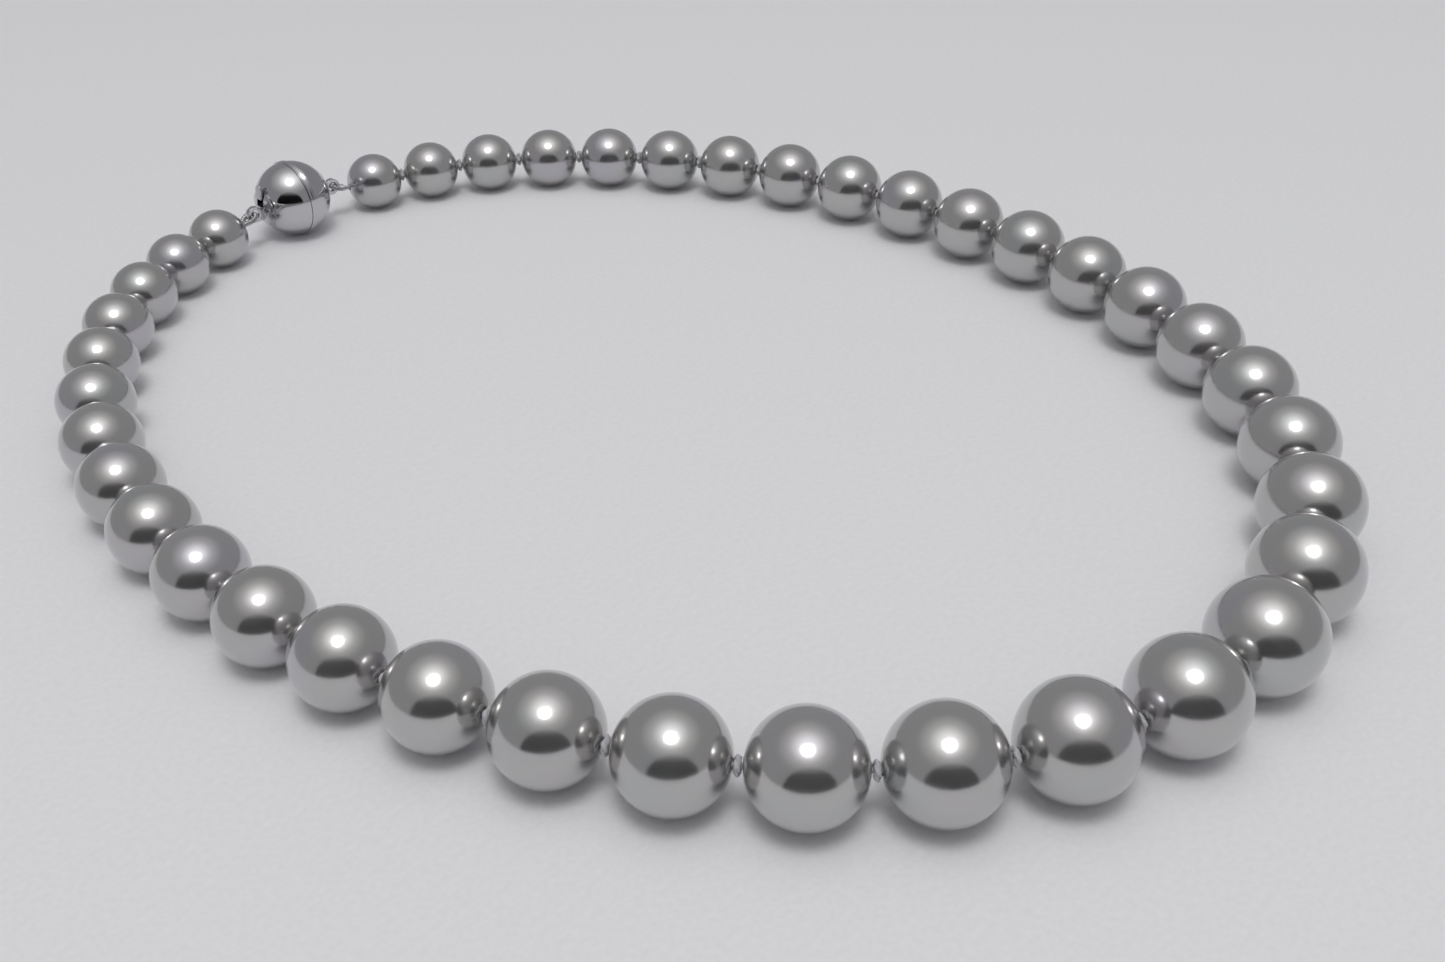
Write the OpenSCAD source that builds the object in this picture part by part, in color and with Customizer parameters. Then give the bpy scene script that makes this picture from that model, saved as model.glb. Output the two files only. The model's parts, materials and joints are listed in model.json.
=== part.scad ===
// Pearl necklace: 39 graduated round pearls on knotted silk, closed by a ball clasp.
// Frame: mm, +Z up, floor at z = 0, the largest pearl at -Y, the clasp at +Y, pearl 1 on the -X side.

/* [Pearls] */
// Number of pearls on the strand
pearl_count = 39; // [39:39]
// Diameter of the middle pearl
pearl_centre_d = 11; // [10:0.1:13]
// Diameter of the pearls beside the clasp
pearl_end_d = 8; // [7:0.1:9]
// Diameter of the drilled hole
bore_d = 0.9; // [0.8:0.05:1.2]

/* [Silk] */
// Space between two pearls, filled by one knot
knot_gap = 0.75; // [0.6:0.05:1]
// Diameter of a knot
knot_d = 1.8; // [1.4:0.1:2]
// Thickness of a knot along the strand
knot_thick = 0.64; // [0.5:0.02:0.7]
// Diameter of the doubled silk inside the pearls
silk_d = 0.6; // [0.4:0.05:0.7]
// Diameter of the single silk inside the gimp
silk_single_d = 0.36; // [0.3:0.02:0.4]

/* [Gimp] */
// Outside diameter of the French wire
gimp_d = 0.76; // [0.6:0.02:0.8]
// Inside diameter of the French wire
gimp_bore_d = 0.48; // [0.4:0.02:0.5]
// Radius of the bend around the lug
gimp_bend_r = 0.95; // [0.9:0.01:1]
// Reach from the lug hole to the pearl's mouth
gimp_reach = 2.7; // [2.5:0.1:3]

/* [Lay] */
// Half width of the oval before it is scaled to close
lay_half_width = 57.5; // [50:0.5:62]
// Half length of the oval before it is scaled to close
lay_half_length = 71.5; // [60:0.5:75]
// How far the widest place sits towards the middle pearl
lay_egg = 4.5; // [0:0.1:8]
// How far the clasp end is flattened
lay_blunt = 5.6; // [0:0.1:8]
// How square the two long sides are
lay_square = 2.1; // [0:0.1:6]

/* [Clasp] */
// Diameter of the ball
ball_d = 10.5; // [9:0.1:11]
// Thickness of the ball's shell
shell_wall = 0.5; // [0.4:0.05:0.7]
// Height of the raised seam band
band_proud = 0.12; // [0.1:0.01:0.2]
// Width of the raised seam band
band_width = 0.7; // [0.5:0.05:1]
// Depth of the groove that holds the seam band
band_groove = 0.12; // [0.1:0.01:0.2]
// Distance from the ball's centre to the flat at the tongue end
flat_x = 4.7; // [4.5:0.05:4.9]
// Diameter of the keeper plate
keeper_d = 4.2; // [4:0.1:4.4]
// Thickness of the keeper plate
keeper_thick = 0.6; // [0.5:0.05:0.8]
// Width of the slot that takes the tongue
slot_width = 3.1; // [3:0.05:3.3]
// Height of the slot above the blade's underside
slot_height = 1; // [0.95:0.01:1.1]
// Width of the notch that takes the release neck
notch_width = 1.3; // [1.2:0.05:1.5]
// Height of the notch above the blade's underside
notch_height = 1.85; // [1.8:0.05:1.9]
// Width of the tongue blade
blade_width = 2.8; // [2.6:0.05:2.9]
// Thickness of the tongue blade
blade_thick = 0.35; // [0.3:0.01:0.4]
// Distance from the ball's centre to the tongue's fold
fold_x = 3; // [2.8:0.1:3.2]
// Radius of the fold
fold_r = 0.4; // [0.35:0.01:0.45]
// Thickness of the sprung leaf
leaf_thick = 0.3; // [0.25:0.01:0.35]
// Width of the sprung leaf
leaf_width = 2.6; // [2.4:0.05:2.7]
// Width of the release neck
neck_width = 0.9; // [0.8:0.05:1]
// Angle that the leaf springs up by
leaf_angle = 7; // [6:0.1:8]
// Height of the thumb tab above the blade's underside when pressed
tab_height = 2.45; // [2.2:0.05:2.6]
// Thickness of the thumb tab
tab_thick = 0.45; // [0.4:0.05:0.6]
// Width of the thumb tab
tab_width = 1.2; // [1:0.05:1.3]
// Diameter of the tongue cap's dome
cap_d = 10.9; // [10.7:0.1:11]
// Width of the notch in the cap
cap_notch_width = 1.5; // [1.4:0.05:1.7]
// Distance from the ball's centre to a lug's hole
lug_x = 6.6; // [6.4:0.05:7]
// Drop of the lug holes below the ball's centre
lug_drop = 0.4; // [0.2:0.05:0.5]
// Outside diameter of a lug
lug_d = 2.3; // [2.2:0.05:2.4]
// Hole in a lug
lug_hole_d = 1.3; // [1.2:0.05:1.4]
// Thickness of a lug
lug_thick = 0.7; // [0.6:0.05:0.8]

/* [Fits] */
// Running clearance between parts that move
fit_gap = 0.1; // [0.08:0.01:0.15]
// Clearance around the fold and at the leaf's free end
spring_gap = 0.05; // [0.04:0.01:0.08]

/* [Hidden] */
$fn = 128;
half = (pearl_count - 1) / 2;
middle = half + 1;
bisect_steps = 40;
far = 40;

// Radii fall evenly from the middle pearl to the ends, and each pearl touches the floor.
radius_step = (pearl_centre_d - pearl_end_d) / 2 / (half - 0.5);
function knot_height(j) = pearl_centre_d / 2 + radius_step * (0.5 - abs(j - half - 0.5));
function pearl_r(i) = (knot_height(i - 1) + knot_height(i)) / 2;

ball_r = ball_d / 2;
clasp_z = ball_r + band_proud;
lug_z = clasp_z - lug_drop;
gimp_fall = lug_z - knot_height(0);
gimp_tilt = asin(gimp_fall / gimp_reach);
end_x = lug_x + gimp_reach * cos(gimp_tilt);

// The oval that the knots lie on, as a function of the angle from the middle pearl.
function lay(t, s) = s * [
    lay_half_width * sin(t) - lay_egg * sin(2 * t) + lay_square * sin(3 * t),
    -lay_half_length * cos(t) + lay_blunt * cos(2 * t) - lay_square * cos(3 * t)
];

// Chord in plan of pearl i, from the knot before it to the knot after it.
function chord(i) = sqrt(pow(2 * pearl_r(i) + knot_gap, 2) - pow(knot_height(i) - knot_height(i - 1), 2));

function first_angle(s, lo = 0, hi = 30, n = bisect_steps) =
    n == 0 ? lo :
    lay((lo + hi) / 2, s)[0] < chord(middle) / 2
        ? first_angle(s, (lo + hi) / 2, hi, n - 1)
        : first_angle(s, lo, (lo + hi) / 2, n - 1);

function next_angle(t, c, s, lo, hi, n = bisect_steps) =
    n == 0 ? lo :
    norm(lay((lo + hi) / 2, s) - lay(t, s)) < c
        ? next_angle(t, c, s, (lo + hi) / 2, hi, n - 1)
        : next_angle(t, c, s, lo, (lo + hi) / 2, n - 1);

function angles(s) = [
    for (k = 0, t = first_angle(s); k <= half; k = k + 1,
         t = next_angle(t, chord(middle + k), s, t, t + 30)) t
];

// The oval's size is the one at which the strand just reaches the clasp.
function closing_scale(lo, hi, n = bisect_steps) =
    n == 0 ? lo :
    lay(angles((lo + hi) / 2)[half], (lo + hi) / 2)[0] < end_x
        ? closing_scale((lo + hi) / 2, hi, n - 1)
        : closing_scale(lo, (lo + hi) / 2, n - 1);

lay_scale = closing_scale(0.9, 1.15);
right_angles = angles(lay_scale);
right_side = [for (t = right_angles) lay(t, lay_scale)];

clasp_back = right_side[half][1] + clasp_z;
pearl_back = max([
    for (k = [1:half]) (right_side[k - 1][1] + right_side[k][1]) / 2 + pearl_r(middle + k)
]);
front = right_side[0][1] - pearl_centre_d / 2;
shift_y = -(front + max(clasp_back, pearl_back)) / 2;

function knot(j) =
    j > half
        ? [right_side[j - middle][0], right_side[j - middle][1] + shift_y, knot_height(j)]
        : [-right_side[half - j][0], right_side[half - j][1] + shift_y, knot_height(j)];
clasp_y = right_side[half][1] + shift_y;

bend_centre = (lug_d + lug_hole_d) / 4;
tip_distance = gimp_reach - bend_centre;
tangent_angle = acos(gimp_bend_r / tip_distance);
tangent_length = sqrt(pow(tip_distance, 2) - pow(gimp_bend_r, 2));
gimp_trim = 0.25;
keeper_inner = flat_x - keeper_thick;
tab_x = flat_x + 4 * fit_gap;

function two(i) = str(i < 10 ? "0" : "", i);
function pearl_name(i) = str("pearl_", two(i));

// [Part]

// Places a part at a with its Z axis pointing to b.
module along(a, b) {
    d = b - a;
    translate(a) rotate([0, acos(d[2] / norm(d)), atan2(d[1], d[0])]) children();
}

module pearl(i) {
    a = knot(i - 1);
    b = knot(i);
    color([0.6, 0.6, 0.62])
    along(a, b)
    difference() {
        translate([0, 0, norm(b - a) / 2]) sphere(r = pearl_r(i));
        cylinder(d = bore_d, h = norm(b - a));
    }
}

module silk_run(i) {
    a = knot(i - 1);
    b = knot(i);
    along(a, b) cylinder(d = silk_d, h = norm(b - a));
}

module silk_knot(j) {
    along(knot(j), knot(j) + knot(j + 1) - knot(j - 1))
    intersection() {
        sphere(d = knot_d);
        translate([0, 0, -knot_thick / 2]) cylinder(d = knot_d, h = knot_thick);
    }
}

// A closed drop: a bend through the lug's hole and two straight legs that meet at the reach.
module drop_path(d) {
    translate([bend_centre, 0, 0]) {
        rotate([0, 0, tangent_angle])
        rotate_extrude(angle = 360 - 2 * tangent_angle) translate([gimp_bend_r, 0]) circle(d = d);
        for (side = [-1, 1])
            rotate([0, 0, side * tangent_angle])
            translate([gimp_bend_r, 0, 0])
            rotate([side * 90, 0, 0])
            cylinder(d = d, h = tangent_length);
    }
}

// Places a drop at a lug's hole, sloping down to the pearl.
module at_lug(side) {
    translate([side * lug_x, clasp_y, lug_z])
    rotate([0, 0, side > 0 ? 0 : 180])
    rotate([0, gimp_tilt, 0]) children();
}

// The strand is even about its middle pearl, so one side is drawn and mirrored.
module silk_thread() {
    color([0.72, 0.72, 0.74])
    union() {
        silk_run(middle);
        for (side = [0, 1])
            mirror([side, 0, 0]) {
                for (i = [middle + 1:pearl_count]) silk_run(i);
                for (j = [middle:pearl_count - 1]) silk_knot(j);
                at_lug(1) drop_path(silk_single_d);
            }
    }
}

module gimp(side) {
    color([0.75, 0.75, 0.76])
    at_lug(side)
    difference() {
        drop_path(gimp_d);
        drop_path(gimp_bore_d);
        translate([gimp_reach - gimp_trim, -far / 2, -far / 2]) cube(far);
    }
}

// Everything on the clasp is drawn about the ball's centre.
module at_clasp() {
    translate([0, clasp_y, clasp_z]) children();
}

module seam_ring() {
    translate([-band_width / 2, 0, 0])
    rotate([0, 90, 0])
    difference() {
        cylinder(r = clasp_z, h = band_width);
        cylinder(r = ball_r - band_groove, h = band_width);
    }
}

module shell_half(side) {
    difference() {
        sphere(r = ball_r);
        sphere(r = ball_r - shell_wall);
        translate([side > 0 ? -far : 0, -far / 2, -far / 2]) cube(far);
        seam_ring();
    }
}

module clasp_lug_half() {
    color([0.8, 0.8, 0.82])
    at_clasp() shell_half(1);
}

module clasp_slot_half() {
    color([0.8, 0.8, 0.82])
    at_clasp()
    difference() {
        shell_half(-1);
        translate([-flat_x - far, -far / 2, -far / 2]) cube(far);
        rotate([0, -90, 0]) cylinder(d = keeper_d, h = far);
    }
}

module clasp_seam_band() {
    color([0.8, 0.8, 0.82])
    at_clasp() seam_ring();
}

module clasp_keeper_plate() {
    color([0.78, 0.78, 0.8])
    at_clasp()
    difference() {
        translate([-keeper_inner, 0, 0]) rotate([0, -90, 0]) cylinder(d = keeper_d, h = keeper_thick);
        translate([-far / 2, -slot_width / 2, -fit_gap]) cube([far, slot_width, slot_height + fit_gap]);
        translate([-far / 2, -notch_width / 2, 0]) cube([far, notch_width, notch_height]);
    }
}

// A flat lug with a round hole, standing on the ball's surface.
module lug(side, dome_d) {
    difference() {
        translate([side * lug_x, lug_thick / 2, -lug_drop])
        rotate([90, 0, 0])
        union() {
            cylinder(d = lug_d, h = lug_thick);
            translate([side > 0 ? -lug_d : 0, -lug_d / 2, 0]) cube([lug_d, lug_d / 2 + lug_drop, lug_thick]);
        }
        translate([side * lug_x, far / 2, -lug_drop]) rotate([90, 0, 0]) cylinder(d = lug_hole_d, h = far);
        sphere(d = dome_d);
        if (side < 0)
            translate([-lug_x + lug_hole_d / 2 - fit_gap, -far / 2, blade_thick]) cube(far);
    }
}

module clasp_lug() {
    color([0.8, 0.8, 0.82])
    at_clasp() lug(1, ball_d);
}

module tongue_lug() {
    color([0.8, 0.8, 0.82])
    at_clasp() lug(-1, cap_d);
}

module tongue_cap() {
    color([0.8, 0.8, 0.82])
    at_clasp()
    difference() {
        sphere(d = cap_d);
        translate([-flat_x - fit_gap, -far / 2, -far / 2]) cube(far);
        translate([-far, -cap_notch_width / 2, blade_thick]) cube([2 * far, cap_notch_width, far]);
    }
}

module tongue_blade() {
    color([0.76, 0.76, 0.78])
    at_clasp()
    union() {
        translate([-flat_x - fit_gap, -blade_width / 2, 0])
        cube([flat_x + fit_gap + fold_x, blade_width, blade_thick]);
        translate([fold_x, blade_width / 2, fold_r]) rotate([90, 0, 0]) cylinder(r = fold_r, h = blade_width);
    }
}

// The leaf and its tab are drawn pressed flat, then sprung up about the fold.
module sprung() {
    at_clasp()
    translate([fold_x, 0, fold_r])
    rotate([0, leaf_angle, 0])
    translate([-fold_x, 0, -fold_r]) children();
}

leaf_bottom = fold_r + spring_gap;
leaf_end = keeper_inner - 3 * spring_gap;

module release_leaf() {
    color([0.76, 0.76, 0.78])
    sprung()
    difference() {
        union() {
            translate([-leaf_end, -leaf_width / 2, leaf_bottom]) cube([leaf_end + fold_x, leaf_width, leaf_thick]);
            translate([-tab_x, -neck_width / 2, leaf_bottom]) cube([tab_x, neck_width, leaf_thick]);
        }
        translate([fold_x, far / 2, fold_r]) rotate([90, 0, 0]) cylinder(r = leaf_bottom, h = far);
    }
}

module thumb_tab() {
    color([0.8, 0.8, 0.82])
    sprung()
    translate([-tab_x - tab_thick, 0, leaf_bottom])
    rotate([90, 0, 90])
    union() {
        translate([-tab_width / 2, 0, 0]) cube([tab_width, tab_height - leaf_bottom - tab_width / 2, tab_thick]);
        translate([0, tab_height - leaf_bottom - tab_width / 2, 0]) cylinder(d = tab_width, h = tab_thick);
    }
}

for (i = [1:pearl_count]) pearl(i);
silk_thread();
gimp(1);  // gimp_ball_side
gimp(-1);  // gimp_tongue_side
clasp_lug_half();
clasp_slot_half();
clasp_seam_band();
clasp_keeper_plate();
clasp_lug();
tongue_cap();
tongue_lug();
tongue_blade();
release_leaf();
thumb_tab();
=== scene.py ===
"""A graduated pearl necklace, knotted on silk and closed by a ball clasp, laid in an open oval."""
import json
import math

import bmesh
import bpy
from mathutils import Matrix, Vector


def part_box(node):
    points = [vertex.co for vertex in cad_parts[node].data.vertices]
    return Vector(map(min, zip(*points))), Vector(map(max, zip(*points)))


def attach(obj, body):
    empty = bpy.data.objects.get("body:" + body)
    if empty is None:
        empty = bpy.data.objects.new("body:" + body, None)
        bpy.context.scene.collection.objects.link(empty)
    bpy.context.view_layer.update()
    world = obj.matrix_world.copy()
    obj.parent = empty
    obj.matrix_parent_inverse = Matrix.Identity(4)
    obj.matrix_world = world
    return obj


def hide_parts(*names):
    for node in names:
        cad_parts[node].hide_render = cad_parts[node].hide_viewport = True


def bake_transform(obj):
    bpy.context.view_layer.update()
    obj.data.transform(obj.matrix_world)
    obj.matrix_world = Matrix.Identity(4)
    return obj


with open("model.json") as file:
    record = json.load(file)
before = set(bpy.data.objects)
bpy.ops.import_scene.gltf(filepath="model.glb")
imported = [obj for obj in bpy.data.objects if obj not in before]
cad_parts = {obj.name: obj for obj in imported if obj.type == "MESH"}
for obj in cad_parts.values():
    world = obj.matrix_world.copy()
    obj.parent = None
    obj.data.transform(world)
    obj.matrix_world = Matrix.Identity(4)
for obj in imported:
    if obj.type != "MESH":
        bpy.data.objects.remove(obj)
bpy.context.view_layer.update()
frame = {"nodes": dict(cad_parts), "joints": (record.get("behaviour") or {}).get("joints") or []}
scene = bpy.context.scene
MM = 0.001

# ---------------------------------------------------------------------------
# The table, the lamps and the camera.
# The strand lies on a pale napped cloth under one big soft lamp, with a small
# bright one in it. The room behind the camera is dark, and pearls show that.
# ---------------------------------------------------------------------------


def linear(hex_colour):
    """An sRGB hex colour as linear RGBA."""
    parts = [int(hex_colour[i : i + 2], 16) / 255 for i in (1, 3, 5)]
    return [c / 12.92 if c <= 0.04045 else ((c + 0.055) / 1.055) ** 2.4 for c in parts] + [1.0]


def add(tree, kind, links=None, **settings):
    """Adds a node with its settings. links maps an input to a socket to join or a value to hold."""
    node = tree.nodes.new(kind)
    for name, value in settings.items():
        setattr(node, name, value)
    for name, value in (links or {}).items():
        if isinstance(value, bpy.types.NodeSocket):
            tree.links.new(value, node.inputs[name])
        else:
            node.inputs[name].default_value = value
    return node


def new_material(name):
    """An empty material: its tree, its shader and the material."""
    material = bpy.data.materials.new(name)
    material.use_nodes = True
    tree = material.node_tree
    return material, tree, tree.nodes["Principled BSDF"]


def plain_object(name, mesh):
    """Links a mesh as an object at the origin."""
    thing = bpy.data.objects.new(name, mesh)
    scene.collection.objects.link(thing)
    return thing


# Cotton velvet, short pile, brushed flat: pale, with no gloss and a faint sheen at a low angle.
velvet, cloth, cloth_shader = new_material("cotton velvet, pale, brushed")
CLOTH_SPECK = 0.6 * MM
cloth_place = add(cloth, "ShaderNodeTexCoord").outputs["Object"]
speck = add(cloth, "ShaderNodeTexNoise", {"Vector": cloth_place, "Scale": 1 / CLOTH_SPECK, "Detail": 3.0})
cloth_tone = add(cloth, "ShaderNodeValToRGB", {"Fac": speck.outputs["Fac"]})
cloth_tone.color_ramp.elements[0].color = linear("#E5E5E8")
cloth_tone.color_ramp.elements[1].color = linear("#F1F1F4")
pile = add(cloth, "ShaderNodeBump", {"Height": speck.outputs["Fac"], "Strength": 0.25, "Distance": 0.1 * MM})
cloth.links.new(cloth_tone.outputs["Color"], cloth_shader.inputs["Base Color"])
cloth.links.new(pile.outputs["Normal"], cloth_shader.inputs["Normal"])
cloth_shader.inputs["Roughness"].default_value = 0.95
cloth_shader.inputs["Specular IOR Level"].default_value = 0.1
cloth_shader.inputs["Sheen Weight"].default_value = 0.15

TABLE_SIZE = 2.6
table_mesh = bpy.data.meshes.new("table_cloth")
half = TABLE_SIZE / 2
table_mesh.from_pydata([(-half, -half, 0), (half, -half, 0), (half, half, 0), (-half, half, 0)], [], [(0, 1, 2, 3)])
table_mesh.materials.append(velvet)
table = plain_object("table_cloth", table_mesh)

# The camera stands on the tongue side of the largest pearl and looks over the oval. Its angles are in radians.
CAMERA_PLACE = Vector((-107.4, -107.4, 91.9)) * MM
CAMERA_TURN = 0.8292
CAMERA_DIP = 0.596
CAMERA_ROLL = 0.0133
CAMERA_LENS = 37.24
camera = bpy.data.objects.new("camera", bpy.data.cameras.new("camera"))
scene.collection.objects.link(camera)
camera.data.lens = CAMERA_LENS
camera.data.clip_start = 0.01
camera.matrix_world = (
    Matrix.Translation(CAMERA_PLACE)
    @ Matrix.Rotation(-CAMERA_TURN, 4, "Z")
    @ Matrix.Rotation(math.pi / 2 - CAMERA_DIP, 4, "X")
    @ Matrix.Rotation(-CAMERA_ROLL, 4, "Z")
)
scene.camera = camera


# The lamp hangs over the table, a little towards the camera.
LAMP_OFFSET = 0.34
LAMP_HEIGHT = 1.15
LAMP_SIZE = 0.44
LAMP_POWER = 3.3
towards_camera = Vector((CAMERA_PLACE.x, CAMERA_PLACE.y, 0)).normalized()
LAMP_SHIFT = towards_camera * LAMP_OFFSET
bright = bpy.data.lights.new("bright_lamp", "AREA")
bright.shape = "DISK"
bright.size = LAMP_SIZE
bright.energy = LAMP_POWER
lamp = bpy.data.objects.new("bright_lamp", bright)
scene.collection.objects.link(lamp)
lamp.location = LAMP_SHIFT + Vector((0, 0, LAMP_HEIGHT))
lamp.rotation_euler = (-lamp.location).to_track_quat("-Z", "Y").to_euler()

ROOM_STRENGTH = 0.45
world = bpy.data.worlds.new("pale_room")
world.use_nodes = True
world.node_tree.nodes["Background"].inputs["Color"].default_value = linear("#D6D6D9")
world.node_tree.nodes["Background"].inputs["Strength"].default_value = ROOM_STRENGTH
scene.world = world
scene.view_settings.view_transform = "Standard"


def stage_card(name, points, material, **seen):
    """A flat card of the studio, which only lights and reflections see."""
    mesh = bpy.data.meshes.new(name)
    mesh.from_pydata([tuple(point) for point in points], [], [tuple(range(len(points)))])
    mesh.materials.append(material)
    card = plain_object(name, mesh)
    card.visible_camera = False
    for ray, shown in seen.items():
        setattr(card, f"visible_{ray}", shown)


CARD_STRENGTH = 1.2


def glow_material(name, centre, axes, reach, strengths):
    """A card that glows by its distance from a centre, along these axes, from 0 to reach."""
    material, tree, shader = new_material(name)
    here = add(tree, "ShaderNodeTexCoord").outputs["Object"]
    off_centre = add(tree, "ShaderNodeVectorMath", {0: here, 1: centre}, operation="SUBTRACT").outputs["Vector"]
    flat = add(tree, "ShaderNodeVectorMath", {0: off_centre, 1: axes}, operation="MULTIPLY")
    distance = add(tree, "ShaderNodeVectorMath", {0: flat.outputs["Vector"]}, operation="LENGTH")
    share = add(tree, "ShaderNodeMapRange", {"Value": distance.outputs["Value"], "From Max": reach})
    ramp = add(tree, "ShaderNodeValToRGB", {"Fac": share.outputs["Result"]})
    stops = ramp.color_ramp.elements
    for k, (place, strength) in enumerate(strengths):
        stop = stops[k] if k < 2 else stops.new(place)
        stop.position, stop.color = place, (strength, strength, strength, 1.0)
    tree.links.new(ramp.outputs["Color"], shader.inputs["Emission Color"])
    shader.inputs["Base Color"].default_value = linear("#000000")
    shader.inputs["Roughness"].default_value = 1.0
    shader.inputs["Specular IOR Level"].default_value = 0.0
    shader.inputs["Emission Strength"].default_value = CARD_STRENGTH
    return material


# The ceiling glows between the lamp and the middle of the room, and fades outwards.
CEILING_REACH = 1.54
CEILING_HEIGHT = 1.2
CEILING_SIDES = 64
GLOW_SHARE = 0.7
ceiling_glow = glow_material(
    "white ceiling, lit", tuple(LAMP_SHIFT * GLOW_SHARE), (1.0, 1.0, 0.0), CEILING_REACH,
    ((0.0, 1.3), (1.0, 0.27), (0.18, 1.15), (0.32, 0.82), (0.48, 0.5), (0.7, 0.36)),
)
circle = [2 * math.pi * k / CEILING_SIDES for k in range(CEILING_SIDES)]
stage_card(
    "glowing_ceiling",
    [
        LAMP_SHIFT + Vector((CEILING_REACH * math.cos(t), -CEILING_REACH * math.sin(t), CEILING_HEIGHT))
        for t in circle
    ],
    ceiling_glow,
)

# The dark side of the room, behind the camera. Only reflections see it.
DARK_WIDTH = 1.15
DARK_HEIGHT = 0.55
DARK_DISTANCE = 0.62
DARK_SIDES = 32
dark_card = glow_material(
    "dark room", (0.0, 0.0, 0.0), (0.0, 0.0, 1.0), DARK_HEIGHT, ((0.0, 0.0), (1.0, 0.24), (0.65, 0.01))
)
across = Vector((-towards_camera.y, towards_camera.x, 0)) * DARK_WIDTH / 2
foot = towards_camera * DARK_DISTANCE + Vector((0, 0, 2 * MM))
bow = [math.pi * k / DARK_SIDES for k in range(DARK_SIDES + 1)]
stage_card(
    "dark_side_of_room",
    [foot + across * math.cos(t) + Vector((0, 0, DARK_HEIGHT * math.sin(t))) for t in bow],
    dark_card, shadow=False, diffuse=False,
)

# ---------------------------------------------------------------------------
# The pearls.
# Round cultured pearls, grown in nacre round a bead, matched and graduated,
# then drilled through with the mouths of the hole eased so they don't cut silk.
# ---------------------------------------------------------------------------

PEARLS = 39
KNOT_GAP = 0.75 * MM
HOLE_RADIUS = 0.45 * MM
HOLE_EASE = 0.12 * MM
NACRE_WAVE = 0.035 * MM
WAVE_SIZE = 6.5 * MM
WAVE_SEED_STEP = 1.7

# The knots are the strand's hinges, and each pearl sits midway between its two knots.
knots = {
    int(joint["name"][5:7]): Vector(joint["pos_m"])
    for joint in frame["joints"]
    if joint["name"].startswith("knot_")
}


def middle_of(node):
    """The middle of a CAD node's box at rest."""
    low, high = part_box(node)
    return (Vector(low) + Vector(high)) / 2


knots[0] = 2 * middle_of("pearl_01") - knots[1]
knots[PEARLS] = 2 * middle_of(f"pearl_{PEARLS}") - knots[PEARLS - 1]


def new_tree(name, **inputs):
    """A Geometry Nodes tree with named inputs and its first and last nodes."""
    tree = bpy.data.node_groups.new(name, "GeometryNodeTree")
    kinds = {float: "NodeSocketFloat", int: "NodeSocketInt", tuple: "NodeSocketVector"}
    tree.interface.new_socket(name="Geometry", in_out="INPUT", socket_type="NodeSocketGeometry")
    tree.interface.new_socket(name="Material", in_out="INPUT", socket_type="NodeSocketMaterial")
    for label, value in inputs.items():
        socket = tree.interface.new_socket(
            name=label.replace("_", " ").capitalize(), in_out="INPUT", socket_type=kinds[type(value)]
        )
        socket.default_value = value
    tree.interface.new_socket(name="Geometry", in_out="OUTPUT", socket_type="NodeSocketGeometry")
    return tree, add(tree, "NodeGroupInput").outputs, add(tree, "NodeGroupOutput")


def finish_tree(tree, out, geometry):
    """Ends a tree in real geometry with its material on it."""
    real = add(tree, "GeometryNodeRealizeInstances", {"Geometry": geometry})
    material = next(node for node in tree.nodes if node.bl_idname == "NodeGroupInput").outputs["Material"]
    dressed = add(tree, "GeometryNodeSetMaterial", {"Geometry": real.outputs["Geometry"], "Material": material})
    tree.links.new(dressed.outputs["Geometry"], out.inputs["Geometry"])


def grow(tree, material, name, data, **sizes):
    """Runs a tree on data with these sizes and returns the result as a plain mesh object."""
    sizes["material"] = material
    host = bpy.data.objects.new(name, data)
    scene.collection.objects.link(host)
    modifier = host.modifiers.new(tree.name, "NODES")
    modifier.node_group = tree
    for item in tree.interface.items_tree:
        key = item.name.lower().replace(" ", "_")
        if item.in_out == "INPUT" and key in sizes:
            modifier[item.identifier] = sizes[key]
    graph = bpy.context.evaluated_depsgraph_get()
    mesh = bpy.data.meshes.new_from_object(host.evaluated_get(graph), preserve_all_data_layers=True, depsgraph=graph)
    bpy.data.objects.remove(host)
    mesh.name = name
    return plain_object(name, mesh)


def maths(tree, operation, first, second=0.0):
    """One sum in a tree."""
    node = add(tree, "ShaderNodeMath", operation=operation)
    for socket, value in zip(node.inputs, (first, second)):
        if isinstance(value, bpy.types.NodeSocket):
            tree.links.new(value, socket)
        else:
            socket.default_value = value
    return node.outputs[0]


# Nacre: thin aragonite layers, tumbled to a satin mirror. It reads as a soft metal under a clear
# skin, grey, with green, rose and lilac where the layers change in thickness.
nacre, skin, nacre_shader = new_material("nacre, grey, tumbled")
TONE_SIZE = 7.0 * MM
GROWTH_SIZE = 1.6 * MM
on_pearl = add(skin, "ShaderNodeTexCoord").outputs["Object"]
tone = add(skin, "ShaderNodeTexNoise", {"Vector": on_pearl, "Scale": 1 / TONE_SIZE, "Detail": 2.0, "Roughness": 0.4})
overtone = add(skin, "ShaderNodeValToRGB", {"Fac": tone.outputs["Fac"]})
ramp = overtone.color_ramp
ramp.elements[0].position, ramp.elements[0].color = 0.3, linear("#BDBFBF")
ramp.elements[1].position, ramp.elements[1].color = 0.7, linear("#C0BEC3")
ramp.elements.new(0.5).color = linear("#C1BFBE")
skin.links.new(overtone.outputs["Color"], nacre_shader.inputs["Base Color"])
growth = add(skin, "ShaderNodeTexNoise", {"Vector": on_pearl, "Scale": 1 / GROWTH_SIZE, "Detail": 3.0})
cloudy = add(
    skin, "ShaderNodeMapRange",
    {"Value": growth.outputs["Fac"], "From Min": 0.3, "From Max": 0.7, "To Min": 0.14, "To Max": 0.2},
)
skin.links.new(cloudy.outputs["Result"], nacre_shader.inputs["Roughness"])
layer_bump = add(skin, "ShaderNodeBump", {"Height": growth.outputs["Fac"], "Strength": 0.06, "Distance": 0.05 * MM})
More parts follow.
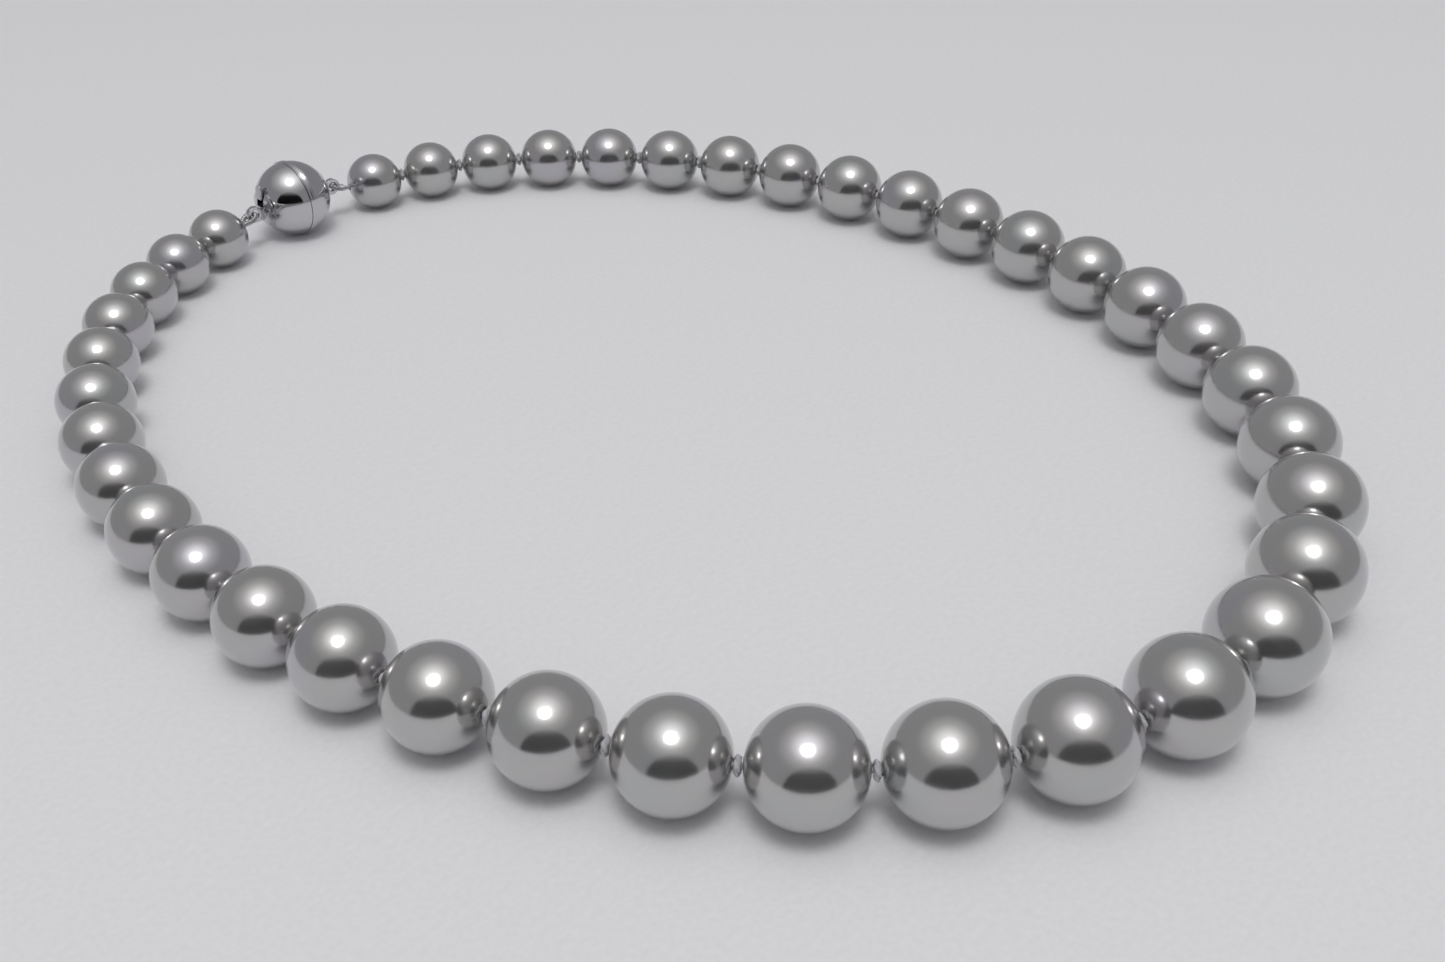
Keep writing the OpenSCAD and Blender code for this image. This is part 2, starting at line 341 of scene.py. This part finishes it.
skin.links.new(layer_bump.outputs["Normal"], nacre_shader.inputs["Normal"])
nacre_shader.inputs["Metallic"].default_value = 0.86
nacre_shader.inputs["IOR"].default_value = 1.6
nacre_shader.inputs["Coat Weight"].default_value = 0.35
nacre_shader.inputs["Coat Roughness"].default_value = 0.1
nacre_shader.inputs["Coat IOR"].default_value = 1.53

# A turned piece is an outline, x from the axis and y along it, turned about the axis. Its corners are
# rounded by the amount that each point holds. A closed outline makes a ring or a drilled piece, and
# an open one that starts and ends on the axis makes a shell.
CORNER_STEPS = 4
WELD = 0.002 * MM
turned, size, turned_out = new_tree(
    "turned piece", turn_steps=96, closed=1, wave=0.0, seed=0.0, middle=(0.0, 0.0, 0.0), axis=(0.0, 0.0, 1.0)
)
corner = add(turned, "GeometryNodeInputNamedAttribute", {"Name": "ease"}, data_type="FLOAT")
drawn = add(turned, "GeometryNodeMeshToCurve", {"Mesh": size["Geometry"]})
outline = add(
    turned, "GeometryNodeFilletCurve",
    {"Curve": drawn.outputs["Curve"], "Count": CORNER_STEPS, "Radius": corner.outputs["Attribute"],
     "Limit Radius": True},
    mode="POLY",
)
outline_size = add(
    turned, "GeometryNodeAttributeDomainSize", {"Geometry": outline.outputs["Curve"]}, component="CURVE"
).outputs["Point Count"]
rows = maths(turned, "ADD", outline_size, size["Closed"])
columns = maths(turned, "ADD", size["Turn steps"], 1.0)
sheet = add(turned, "GeometryNodeMeshGrid", {"Size X": 1.0, "Size Y": 1.0, "Vertices X": rows, "Vertices Y": columns})
index = add(turned, "GeometryNodeInputIndex").outputs["Index"]
row = maths(turned, "MODULO", maths(turned, "FLOOR", maths(turned, "DIVIDE", index, columns)), outline_size)
step_angle = maths(turned, "DIVIDE", 2 * math.pi, size["Turn steps"])
swing = maths(turned, "MULTIPLY", maths(turned, "MODULO", index, columns), step_angle)
traced = add(
    turned, "GeometryNodeSampleIndex",
    {"Geometry": outline.outputs["Curve"], "Value": add(turned, "GeometryNodeInputPosition").outputs["Position"],
     "Index": row},
    data_type="FLOAT_VECTOR", domain="POINT",
)
drawn_at = add(turned, "ShaderNodeSeparateXYZ", {"Vector": traced.outputs["Value"]}).outputs
turned_to = add(
    turned, "ShaderNodeCombineXYZ",
    {"X": maths(turned, "MULTIPLY", drawn_at["X"], maths(turned, "COSINE", swing)),
     "Y": maths(turned, "MULTIPLY", drawn_at["X"], maths(turned, "SINE", swing)),
     "Z": drawn_at["Y"]},
)
wrapped = add(
    turned, "GeometryNodeSetPosition", {"Geometry": sheet.outputs["Mesh"], "Position": turned_to.outputs[0]}
)
welded = add(turned, "GeometryNodeMergeByDistance", {"Geometry": wrapped.outputs["Geometry"], "Distance": WELD})
# A wave sinks the surface here and there by a few hundredths of a millimetre, never past the drawn size.
position = add(turned, "GeometryNodeInputPosition").outputs["Position"]
swell = add(
    turned, "ShaderNodeTexNoise", {"Vector": position, "W": size["Seed"], "Scale": 1 / WAVE_SIZE, "Detail": 1.0},
    noise_dimensions="4D",
)
outward = add(turned, "ShaderNodeVectorMath", {0: position}, operation="NORMALIZE")
sunk = maths(turned, "MULTIPLY", maths(turned, "MULTIPLY", swell.outputs["Fac"], size["Wave"]), -1.0)
inset = add(turned, "ShaderNodeVectorMath", {0: outward.outputs["Vector"], "Scale": sunk}, operation="SCALE")
shaped = add(
    turned, "GeometryNodeSetPosition", {"Geometry": welded.outputs["Geometry"], "Offset": inset.outputs["Vector"]}
)
lined_up = add(turned, "FunctionNodeAlignRotationToVector", {"Vector": size["Axis"]}, axis="Z")
placed = add(
    turned, "GeometryNodeTransform",
    {"Geometry": shaped.outputs["Geometry"], "Translation": size["Middle"], "Rotation": lined_up.outputs["Rotation"]},
)
smooth = add(turned, "GeometryNodeSetShadeSmooth", {"Geometry": placed.outputs["Geometry"]})
finish_tree(turned, turned_out, smooth.outputs["Geometry"])


def drawn_line(name, label, *lines):
    """A mesh of lines for a tree to follow. Each is (closed, points, the value each point holds as label)."""
    mesh = bpy.data.meshes.new(name)
    spots, edges, values = [], [], []
    for closed, points, held in lines:
        first, count = len(spots), len(points)
        edges += [(first + k, first + (k + 1) % count) for k in range(count if closed else count - 1)]
        spots += [tuple(point) for point in points]
        values += held
    mesh.from_pydata(spots, edges, [])
    mesh.attributes.new(label, "FLOAT", "POINT").data.foreach_set("value", values)
    return mesh


def outline_mesh(name, points, closed=True):
    """An outline to turn, as points (x, y, corner radius) in metres."""
    return drawn_line(name, "ease", (closed, [(p[0], p[1], 0.0) for p in points], [p[2] for p in points]))


ARC_STEPS = 56


def pearl_outline(radius):
    """Half the pearl's round from mouth to mouth, closed by the wall of the hole."""
    lean = math.acos(HOLE_RADIUS / radius)
    turns = [lean * (2 * k / ARC_STEPS - 1) for k in range(ARC_STEPS + 1)]
    return [
        (radius * math.cos(t), radius * math.sin(t), HOLE_EASE if k in (0, ARC_STEPS) else 0.0)
        for k, t in enumerate(turns)
    ]


for number in range(1, PEARLS + 1):
    before, after = knots[number - 1], knots[number]
    chord = after - before
    radius = (chord.length - KNOT_GAP) / 2
    pearl = grow(
        turned, nacre, f"nacre_pearl_{number:02d}", outline_mesh("pearl_outline", pearl_outline(radius)),
        wave=NACRE_WAVE, seed=number * WAVE_SEED_STEP, middle=tuple((before + after) / 2),
        axis=tuple(chord.normalized()),
    )
    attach(pearl, f"link_{number:02d}")
    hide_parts(f"pearl_{number:02d}")

# ---------------------------------------------------------------------------
# The silk.
# Doubled silk thread runs through every pearl, with an overhand knot pulled tight
# between two pearls. A single thread goes on through the gimp at each end.
# ---------------------------------------------------------------------------

SILK_RADIUS = 0.3 * MM
KNOT_STRAND = 0.27 * MM
KNOT_REACH = 0.98 * MM
KNOT_RISE = 0.09 * MM
SINGLE_RADIUS = 0.17 * MM
SILK_LAY = 1.1 * MM
FIBRE_SIZE = 0.05 * MM
PLY_SIDES = 18
PLY_DEPTH = 0.12

# Silk, degummed and twisted: pearly grey with a dry sheen. A fibre is 0.01 mm thick, which is too
# fine to show, so the fibres are drawn five times as coarse.
silk, thread, silk_shader = new_material("silk, twisted, grey")
on_silk = add(thread, "ShaderNodeTexCoord").outputs["Object"]
fibres = add(thread, "ShaderNodeTexNoise", {"Vector": on_silk, "Scale": 1 / FIBRE_SIZE, "Detail": 4.0})
silk_tone = add(thread, "ShaderNodeValToRGB", {"Fac": fibres.outputs["Fac"]})
silk_tone.color_ramp.elements[0].position, silk_tone.color_ramp.elements[0].color = 0.35, linear("#98989C")
silk_tone.color_ramp.elements[1].position, silk_tone.color_ramp.elements[1].color = 0.65, linear("#D2D2D6")
fuzz = add(thread, "ShaderNodeBump", {"Height": fibres.outputs["Fac"], "Strength": 0.5, "Distance": 0.03 * MM})
thread.links.new(silk_tone.outputs["Color"], silk_shader.inputs["Base Color"])
thread.links.new(fuzz.outputs["Normal"], silk_shader.inputs["Normal"])
silk_shader.inputs["Roughness"].default_value = 0.55
silk_shader.inputs["Sheen Weight"].default_value = 0.3
silk_shader.inputs["Specular IOR Level"].default_value = 0.4

# A laid strand: three plies that turn once in every lay length, as thick as each point says.
laid, size, laid_out = new_tree("laid strand", lay_length=SILK_LAY, spacing=0.1 * MM)
path = add(laid, "GeometryNodeMeshToCurve", {"Mesh": size["Geometry"]})
even = add(
    laid, "GeometryNodeResampleCurve", {"Curve": path.outputs["Curve"], "Length": size["Spacing"]}, mode="LENGTH"
)
length_on = add(laid, "GeometryNodeSplineParameter").outputs["Length"]
twist = maths(laid, "MULTIPLY", maths(laid, "DIVIDE", length_on, size["Lay length"]), 2 * math.pi / 3)
twisted = add(laid, "GeometryNodeSetCurveTilt", {"Curve": even.outputs["Curve"], "Tilt": twist})
ring = add(laid, "GeometryNodeCurvePrimitiveCircle", {"Resolution": PLY_SIDES, "Radius": 1.0})
ring_at = add(laid, "GeometryNodeInputPosition").outputs["Position"]
ring_xyz = add(laid, "ShaderNodeSeparateXYZ", {"Vector": ring_at}).outputs
ply = maths(laid, "COSINE", maths(laid, "MULTIPLY", maths(laid, "ARCTAN2", ring_xyz["Y"], ring_xyz["X"]), 3.0))
lobe = maths(laid, "ADD", maths(laid, "MULTIPLY", ply, PLY_DEPTH), 1 - PLY_DEPTH)
lobed = add(laid, "ShaderNodeVectorMath", {0: ring_at, "Scale": lobe}, operation="SCALE")
three_ply = add(
    laid, "GeometryNodeSetPosition", {"Geometry": ring.outputs["Curve"], "Position": lobed.outputs["Vector"]}
)
thick = add(laid, "GeometryNodeInputNamedAttribute", {"Name": "thick"}, data_type="FLOAT").outputs["Attribute"]
strand = add(
    laid, "GeometryNodeCurveToMesh",
    {"Curve": twisted.outputs["Curve"], "Profile Curve": three_ply.outputs["Geometry"], "Scale": thick,
     "Fill Caps": True},
)
strand_smooth = add(laid, "GeometryNodeSetShadeSmooth", {"Geometry": strand.outputs["Mesh"]})
finish_tree(laid, laid_out, strand_smooth.outputs["Geometry"])


KNOT_STEPS = 90
KNOT_ROUNDS = 2
KNOT_CROSSINGS = 5


def knot_line(middle, axis):
    """The silk's way through a knot pulled tight: twice round the strand, over and under itself."""
    turn = axis.to_track_quat("Z", "Y").to_matrix()
    weave = (KNOT_REACH - KNOT_STRAND) / 4
    points = []
    for k in range(KNOT_STEPS):
        t = 2 * math.pi * k / KNOT_STEPS
        out = 3 * weave + weave * math.cos(KNOT_CROSSINGS * t)
        rise = KNOT_RISE * math.sin(KNOT_CROSSINGS * t)
        spot = Vector((out * math.cos(KNOT_ROUNDS * t), out * math.sin(KNOT_ROUNDS * t), rise))
        points.append(middle + turn @ spot)
    return True, points, [KNOT_STRAND] * len(points)


# The loop at each end: round the clasp's lug in one bend, with two straight legs to the pearl.
LUG_X = 6.6 * MM
LUG_DROP = 0.4 * MM
BEND_CENTRE = 0.9 * MM
BEND_RADIUS = 0.95 * MM
BEND_STEPS = 40
LOOP_REACH = 2.7 * MM
GIMP_TRIM = 0.25 * MM
ball_low, ball_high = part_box("clasp_seam_band")
ball_middle = (Vector(ball_low) + Vector(ball_high)) / 2


def loop_line(side, trim=0.0):
    """The loop's centre line from leg to leg, at the ball side (1) or the tongue side (-1)."""
    lug_hole = ball_middle + Vector((side * LUG_X, 0, -LUG_DROP))
    tip = knots[PEARLS] if side > 0 else knots[0]
    along = (tip - lug_hole).normalized()
    sideways = Vector((0, side, 0))
    lean = math.acos(BEND_RADIUS / (LOOP_REACH - BEND_CENTRE))
    bend = [lean + (2 * math.pi - 2 * lean) * k / BEND_STEPS for k in range(BEND_STEPS + 1)]
    flat = [(BEND_CENTRE + BEND_RADIUS * math.cos(t), BEND_RADIUS * math.sin(t)) for t in bend]
    share = (LOOP_REACH - trim - flat[0][0]) / (LOOP_REACH - flat[0][0])
    ends = [(u + (LOOP_REACH - u) * share, v * (1 - share)) for u, v in (flat[0], flat[-1])]
    return [lug_hole + along * u + sideways * v for u, v in [ends[0], *flat, ends[1]]]


middles = [None] + [(knots[k - 1] + knots[k]) / 2 for k in range(1, PEARLS + 1)]


SILK_STEPS = 8


def silk_line(a, b):
    """Doubled silk from a to b."""
    points = [a.lerp(b, k / SILK_STEPS) for k in range(SILK_STEPS + 1)]
    return False, points, [SILK_RADIUS] * len(points)


# Each length runs from the middle of one pearl to the middle of the next, and bends at its knot.
for number in range(1, PEARLS):
    here, axis = knots[number], (knots[number + 1] - knots[number - 1]).normalized()
    length = grow(
        laid, silk, f"silk_length_{number:02d}",
        drawn_line(
            "silk_line", "thick", silk_line(middles[number], here), silk_line(here, middles[number + 1]),
            knot_line(here, axis),
        ),
    )
    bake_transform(length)
    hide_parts("silk_thread")

for name, number, end, side in (("silk_end_tongue_side", 1, 0, -1), ("silk_end_ball_side", PEARLS, PEARLS, 1)):
    loop = loop_line(side)
    single = (False, loop, [SINGLE_RADIUS] * len(loop))
    length = grow(
        laid, silk, name, drawn_line("silk_line", "thick", silk_line(middles[number], knots[end]), single)
    )
    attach(length, f"link_{number:02d}")
    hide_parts("silk_thread")

# ---------------------------------------------------------------------------
# The gimp.
# French wire: hair-fine silver-plated copper wire wound into a soft close coil,
# slipped over the silk so that the clasp's lugs can't saw through it.
# ---------------------------------------------------------------------------

GIMP_RADIUS = 0.38 * MM
GIMP_WIRE = 0.12 * MM
GIMP_PITCH = 0.135 * MM
WIRE_SIDES = 8
DRAWING_SIZE = 0.2 * MM

# Silver plate on drawn wire: bright, a little milky, with a tight highlight on every turn.
gimp_silver, wire_tree, gimp_shader = new_material("silver plate, drawn wire")
drawing = add(
    wire_tree, "ShaderNodeTexNoise",
    {"Vector": add(wire_tree, "ShaderNodeTexCoord").outputs["Object"], "Scale": 1 / DRAWING_SIZE, "Detail": 2.0},
)
gimp_gloss = add(
    wire_tree, "ShaderNodeMapRange", {"Value": drawing.outputs["Fac"], "To Min": 0.2, "To Max": 0.34}
)
wire_tree.links.new(gimp_gloss.outputs["Result"], gimp_shader.inputs["Roughness"])
gimp_shader.inputs["Base Color"].default_value = linear("#CFCFD1")
gimp_shader.inputs["Metallic"].default_value = 1.0

# A coil of round wire wound about the line it follows.
coil, size, coil_out = new_tree("wound wire", turns=40, turn_steps=12, coil_radius=0.3 * MM, wire_radius=0.06 * MM)
core = add(coil, "GeometryNodeMeshToCurve", {"Mesh": size["Geometry"]})
wound = add(
    coil, "GeometryNodeResampleCurve",
    {"Curve": core.outputs["Curve"], "Count": maths(coil, "MULTIPLY", size["Turns"], size["Turn steps"])},
    mode="COUNT",
)
on_way = add(coil, "GeometryNodeSplineParameter").outputs["Factor"]
wind = maths(coil, "MULTIPLY", maths(coil, "MULTIPLY", on_way, size["Turns"]), 2 * math.pi)
core_normal = add(coil, "GeometryNodeInputNormal").outputs["Normal"]
core_side = add(
    coil, "ShaderNodeVectorMath", {0: add(coil, "GeometryNodeInputTangent").outputs["Tangent"], 1: core_normal},
    operation="CROSS_PRODUCT",
)
up_part = add(
    coil, "ShaderNodeVectorMath", {0: core_normal, "Scale": maths(coil, "COSINE", wind)}, operation="SCALE"
)
side_part = add(
    coil, "ShaderNodeVectorMath", {0: core_side.outputs["Vector"], "Scale": maths(coil, "SINE", wind)},
    operation="SCALE",
)
both = add(
    coil, "ShaderNodeVectorMath", {0: up_part.outputs["Vector"], 1: side_part.outputs["Vector"]}, operation="ADD"
)
off = add(coil, "ShaderNodeVectorMath", {0: both.outputs["Vector"], "Scale": size["Coil radius"]}, operation="SCALE")
helix = add(coil, "GeometryNodeSetPosition", {"Geometry": wound.outputs["Curve"], "Offset": off.outputs["Vector"]})
wire_section = add(
    coil, "GeometryNodeCurvePrimitiveCircle", {"Resolution": WIRE_SIDES, "Radius": size["Wire radius"]}
)
wire = add(
    coil, "GeometryNodeCurveToMesh",
    {"Curve": helix.outputs["Geometry"], "Profile Curve": wire_section.outputs["Curve"], "Fill Caps": True},
)
wire_smooth = add(coil, "GeometryNodeSetShadeSmooth", {"Geometry": wire.outputs["Mesh"]})
finish_tree(coil, coil_out, wire_smooth.outputs["Geometry"])

for node, side, body in (("gimp_ball_side", 1, f"link_{PEARLS}"), ("gimp_tongue_side", -1, "link_01")):
    line = loop_line(side, GIMP_TRIM + GIMP_WIRE)
    run = sum((b - a).length for a, b in zip(line, line[1:]))
    gimp = grow(
        coil, gimp_silver, node.replace("gimp", "gimp_coil"),
        drawn_line("gimp_line", "thick", (False, line, [0.0] * len(line))),
        turns=round(run / GIMP_PITCH), coil_radius=GIMP_RADIUS - GIMP_WIRE / 2, wire_radius=GIMP_WIRE / 2,
    )
    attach(gimp, body)
    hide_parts(node)

# ---------------------------------------------------------------------------
# The clasp's ball.
# Two pressed silver half shells soldered under a raised seam band. One carries the
# lug for the silk, the other a flat with the keeper plate that the tongue goes into.
# ---------------------------------------------------------------------------

BALL_RADIUS = 5.25 * MM
SHELL_WALL = 0.5 * MM
SEAM_OUTSIDE = 5.37 * MM
SEAM_INSIDE = 5.13 * MM
SEAM_HALF = 0.35 * MM
FLAT_X = 4.7 * MM
KEEPER_RADIUS = 2.1 * MM
EASE = 0.08 * MM
SMALL_EASE = 0.03 * MM
GROOVE_DEPTH = 0.05 * MM
GROOVE_HALF = 0.12 * MM
HAIRLINE_SIZE = 0.35 * MM
WEAR_SIZE = 3.0 * MM

# Sterling silver, pressed, polished and rhodium plated: a cool mirror with hairline wear.
rhodium, plate, rhodium_shader = new_material("sterling silver, polished, rhodium plated")
on_clasp = add(plate, "ShaderNodeTexCoord").outputs["Object"]
hairlines = add(
    plate, "ShaderNodeTexNoise", {"Vector": on_clasp, "Scale": 1 / HAIRLINE_SIZE, "Detail": 6.0, "Distortion": 1.2}
)
handled = add(plate, "ShaderNodeTexNoise", {"Vector": on_clasp, "Scale": 1 / WEAR_SIZE, "Detail": 2.0})
worn = maths(plate, "MULTIPLY", hairlines.outputs["Fac"], handled.outputs["Fac"])
mirror = add(
    plate, "ShaderNodeMapRange", {"Value": worn, "From Min": 0.1, "From Max": 0.4, "To Min": 0.07, "To Max": 0.16}
)
plate_bump = add(plate, "ShaderNodeBump", {"Height": handled.outputs["Fac"], "Strength": 0.04, "Distance": 0.1 * MM})
plate.links.new(mirror.outputs["Result"], rhodium_shader.inputs["Roughness"])
plate.links.new(plate_bump.outputs["Normal"], rhodium_shader.inputs["Normal"])
rhodium_shader.inputs["Base Color"].default_value = linear("#C9C9CC")
rhodium_shader.inputs["Metallic"].default_value = 1.0


def arc_points(radius, start, stop, steps):
    """Points on a round about the ball's middle. Angles are from the axis, in degrees."""
    angles = [math.radians(start + (stop - start) * k / steps) for k in range(steps + 1)]
    return [(radius * math.sin(t), radius * math.cos(t), 0.0) for t in angles]


def angle_at(radius, across=None, along=None):
    """The angle from the axis at which a round of this radius is so far across or along."""
    return math.degrees(math.asin(across / radius) if across is not None else math.acos(along / radius))


inner_radius = BALL_RADIUS - SHELL_WALL
# The rim steps down under the seam band, and the inside stops just short of it.
RIM_STOP = 89.5
rim = [(inner_radius, 0.0, SMALL_EASE), (SEAM_INSIDE, 0.0, 0.0), (SEAM_INSIDE, SEAM_HALF, 0.0)]
shoulder = angle_at(BALL_RADIUS, along=SEAM_HALF)
domed = (
    arc_points(inner_radius, 0, RIM_STOP, 32)
    + rim
    + arc_points(BALL_RADIUS, shoulder, 0, 40)
)
flat_angle = angle_at(BALL_RADIUS, along=FLAT_X)
flat_across = BALL_RADIUS * math.sin(math.radians(flat_angle))
hole_angle = angle_at(inner_radius, across=KEEPER_RADIUS)
slotted = (
    rim
    + arc_points(BALL_RADIUS, shoulder, flat_angle + 1, 36)
    + [(flat_across, FLAT_X, EASE), (KEEPER_RADIUS, FLAT_X, SMALL_EASE)]
    + arc_points(inner_radius, hole_angle, RIM_STOP, 28)
)
seam = [
    (SEAM_INSIDE, -SEAM_HALF, 0.0), (SEAM_OUTSIDE, -SEAM_HALF, EASE), (SEAM_OUTSIDE, -GROOVE_HALF, SMALL_EASE),
    (SEAM_OUTSIDE - GROOVE_DEPTH, 0.0, GROOVE_DEPTH), (SEAM_OUTSIDE, GROOVE_HALF, SMALL_EASE),
    (SEAM_OUTSIDE, SEAM_HALF, EASE), (SEAM_INSIDE, SEAM_HALF, 0.0),
]
for name, node, outline, closed, facing in (
    ("lug_half_shell", "clasp_lug_half", domed, 0, 1.0),
    ("slot_half_shell", "clasp_slot_half", slotted, 1, -1.0),
    ("seam_band", "clasp_seam_band", seam, 1, 1.0),
):
    shell = grow(
        turned, rhodium, name, outline_mesh("clasp_outline", outline, bool(closed)),
        closed=closed, middle=tuple(ball_middle), axis=(facing, 0.0, 0.0),
    )
    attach(shell, "clasp_ball")
    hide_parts(node)


SAME_POINT = 0.001 * MM
SAME_PLANE = math.radians(0.6)
SHARP_EDGE = math.radians(32)
EDGE_STEPS = 3


def eased_copy(node, name, material, body, width):
    """The CAD piece with its sharp edges broken, as after tumbling."""
    form = bmesh.new()
    form.from_mesh(frame["nodes"][node].data)
    bmesh.ops.remove_doubles(form, verts=form.verts, dist=SAME_POINT)
    bmesh.ops.dissolve_limit(form, angle_limit=SAME_PLANE, verts=form.verts, edges=form.edges)
    for face in form.faces:
        face.smooth = True
    mesh = bpy.data.meshes.new(name)
    form.to_mesh(mesh)
    form.free()
    mesh.materials.clear()
    mesh.materials.append(material)
    piece = plain_object(name, mesh)
    edges = piece.modifiers.new("broken edges", "BEVEL")
    edges.width = width
    edges.segments = EDGE_STEPS
    edges.limit_method = "ANGLE"
    edges.angle_limit = SHARP_EDGE
    edges.harden_normals = True
    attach(piece, body)
    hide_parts(node)


eased_copy("clasp_keeper_plate", "keeper_plate", rhodium, "clasp_ball", 0.04 * MM)
eased_copy("clasp_lug", "ball_lug", rhodium, "clasp_ball", 0.07 * MM)

# ---------------------------------------------------------------------------
# The tongue.
# A silver cap that finishes the ball's round, with its own lug, and a strip of
# springy silver folded double. The upper leaf clicks in behind the keeper plate.
# ---------------------------------------------------------------------------

# Hard-rolled silver strip: satin, with fine lines along the way it was rolled.
ROLL_LINE = 0.06 * MM
spring, strip, spring_shader = new_material("silver strip, hard rolled")
on_strip = add(strip, "ShaderNodeTexCoord").outputs["Object"]
stretched = add(strip, "ShaderNodeMapping", {"Vector": on_strip, "Scale": (0.05, 1.0, 1.0)})
roll_lines = add(
    strip, "ShaderNodeTexNoise", {"Vector": stretched.outputs["Vector"], "Scale": 1 / ROLL_LINE, "Detail": 3.0}
)
satin = add(strip, "ShaderNodeMapRange", {"Value": roll_lines.outputs["Fac"], "To Min": 0.2, "To Max": 0.4})
strip_bump = add(
    strip, "ShaderNodeBump", {"Height": roll_lines.outputs["Fac"], "Strength": 0.1, "Distance": 0.02 * MM}
)
strip.links.new(satin.outputs["Result"], spring_shader.inputs["Roughness"])
strip.links.new(strip_bump.outputs["Normal"], spring_shader.inputs["Normal"])
spring_shader.inputs["Base Color"].default_value = linear("#C2C2C4")
spring_shader.inputs["Metallic"].default_value = 1.0

eased_copy("tongue_cap", "tongue_cap_dome", rhodium, "tongue", 0.06 * MM)
eased_copy("tongue_lug", "tongue_lug_ring", rhodium, "tongue", 0.07 * MM)
eased_copy("tongue_blade", "tongue_strip", spring, "tongue", 0.05 * MM)
eased_copy("release_leaf", "release_strip", spring, "release", 0.04 * MM)
eased_copy("thumb_tab", "thumb_piece", spring, "release", 0.06 * MM)
